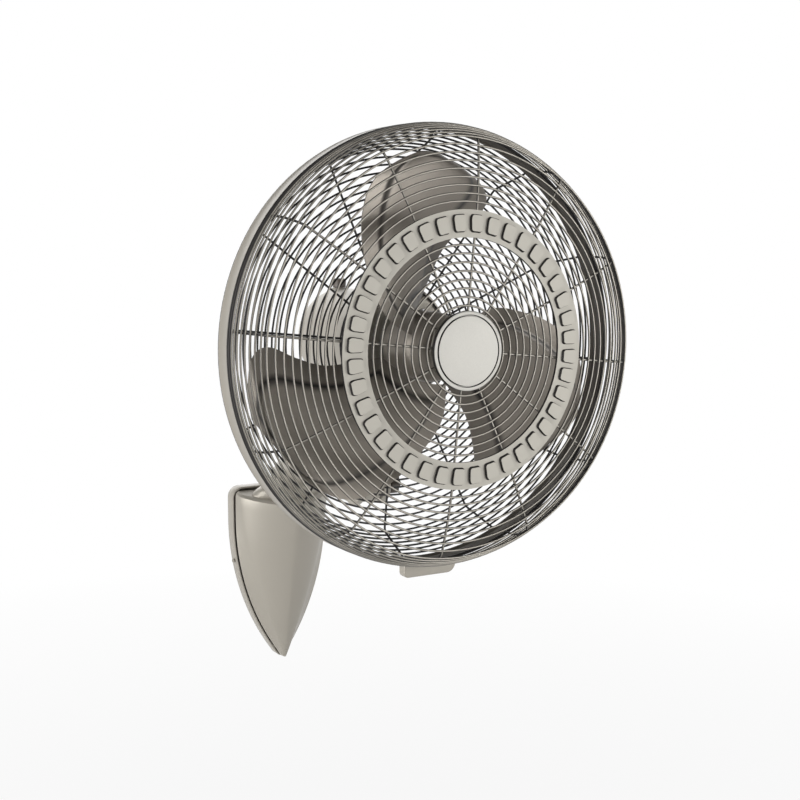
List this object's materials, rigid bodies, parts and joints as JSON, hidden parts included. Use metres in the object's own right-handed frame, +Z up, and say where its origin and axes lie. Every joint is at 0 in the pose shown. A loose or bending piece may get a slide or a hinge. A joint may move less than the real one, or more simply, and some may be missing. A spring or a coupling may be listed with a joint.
{
  "type": "wall mounted fan",
  "caption": "Wall fan with a round wire cage, metal blades and a finned trim ring on a bent arm, which tilts and swings on a shield shaped wall box.",
  "frame": {"origin": "point on the wall face of the wall plate, in the part's middle plane, 150 mm below the level part of the arm", "axes": "+Z up, -Y out of the wall the way the fan blows, +X to the right of someone who faces the fan"},
  "size_m": [0.518, 0.5381, 0.7536],
  "materials": {
    "brushed_nickel": "satin plated, warm pale grey",
    "wire": "satin plated wire",
    "blade_metal": "satin plated sheet",
    "steel": "plain zinc plated",
    "dark_steel": "laminated sheet, dark",
    "cast_aluminium": "as cast",
    "black_plastic": "matte",
    "brown_plastic": "matte",
    "white_plastic": "matte",
    "copper": "enamelled winding",
    "bronze": "sintered bearing bronze"
  },
  "bodies": {
    "wall_side": {"wall_plate": "brushed_nickel", "wall_cover": "brushed_nickel", "cover_screw_left": "steel", "cover_screw_right": "steel", "wall_screw_1": "steel", "wall_screw_2": "steel", "terminal_block": "white_plastic", "speed_control": "black_plastic", "arm": "brushed_nickel", "arm_bolt_1": "steel", "arm_bolt_2": "steel", "arm_bolt_3": "steel", "arm_bolt_4": "steel", "friction_washer_left": "black_plastic", "friction_washer_right": "black_plastic", "tilt_bolt": "steel"},
    "tilt_lock": {"tilt_knob": "brown_plastic"},
    "tilt_neck": {"neck": "brushed_nickel", "pivot_bush": "bronze", "thrust_washer": "black_plastic"},
    "fan_head": {"motor_housing": "brushed_nickel", "pivot_pin": "steel", "front_bell": "cast_aluminium", "front_bearing": "steel", "rear_bearing": "steel", "stator_core": "dark_steel", "front_winding": "copper", "rear_winding": "copper", "gear_case": "cast_aluminium", "front_grille_face": "wire", "front_grille_side": "wire", "rear_grille_face": "wire", "rear_grille_side": "wire", "cage_band": "brushed_nickel", "cage_plate": "brushed_nickel", "cage_screw_1": "steel", "cage_screw_2": "steel", "cage_screw_3": "steel", "cage_screw_4": "steel", "trim_ring": "brushed_nickel", "badge": "brushed_nickel", "badge_clamp": "brushed_nickel", "badge_screw": "steel", "cage_latch": "brushed_nickel"},
    "swing_selector": {"swing_knob": "brown_plastic"},
    "rotor": {"shaft": "steel", "rotor_core": "dark_steel", "hub": "blade_metal", "hub_nut": "black_plastic", "blade_1": "blade_metal", "blade_2": "blade_metal", "blade_3": "blade_metal"}
  },
  "joints": [
    {"name": "tilt", "type": "hinge", "parent": "wall_side", "child": "tilt_neck", "pos_m": [0, -0.294, 0.15], "axis": [1, 0, 0], "range_deg": [-20, 25]},
    {"name": "swing", "type": "hinge", "parent": "tilt_neck", "child": "fan_head", "pos_m": [0, -0.294, 0.25], "axis": [0, 0, 1], "range_deg": [-45, 45]},
    {"name": "spin", "type": "hinge", "parent": "fan_head", "child": "rotor", "pos_m": [0, -0.459, 0.34], "axis": [0, -1, 0], "continuous": true},
    {"name": "swing_knob_pull", "type": "slide", "parent": "fan_head", "child": "swing_selector", "axis": [0, 0, 1], "range_m": [0, 0.008]},
    {"name": "tilt_knob_turn", "type": "hinge", "parent": "wall_side", "child": "tilt_lock", "pos_m": [0, -0.294, 0.15], "axis": [1, 0, 0], "range_deg": [0, 180]}
  ]
}
